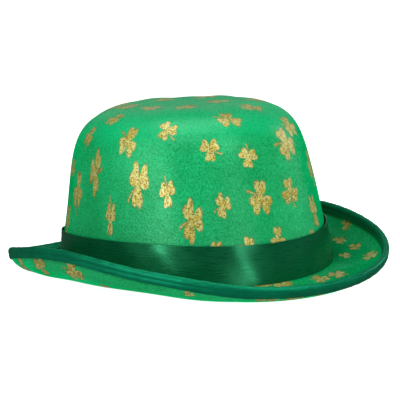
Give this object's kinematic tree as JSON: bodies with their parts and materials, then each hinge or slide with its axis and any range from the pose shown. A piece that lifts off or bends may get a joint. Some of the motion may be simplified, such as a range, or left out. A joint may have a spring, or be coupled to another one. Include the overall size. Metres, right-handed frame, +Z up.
{
  "type": "leprechaun hat",
  "caption": "Green bowler-shaped costume hat with a rounded hollow crown, a satin hat band and a bound brim that curls up at both sides.",
  "frame": {"origin": "under the middle of the crown, on the plane that the brim rests on", "axes": "+Z up through the crown, -Y the way the wearer looks, +X the wearer's left"},
  "size_m": [0.241, 0.3026, 0.1224],
  "materials": {
    "velvet_crown": "bright green velvet-faced felt printed with small gold foil shamrocks",
    "velvet_brim": "bright green velvet-faced felt on both faces, printed with small gold foil shamrocks",
    "satin_band": "dark green satin ribbon",
    "satin_tape": "blue-green satin tape"
  },
  "bodies": {
    "root": {"crown": "velvet_crown", "brim": "velvet_brim", "hat_band": "satin_band", "brim_binding": "satin_tape"}
  },
  "joints": []
}
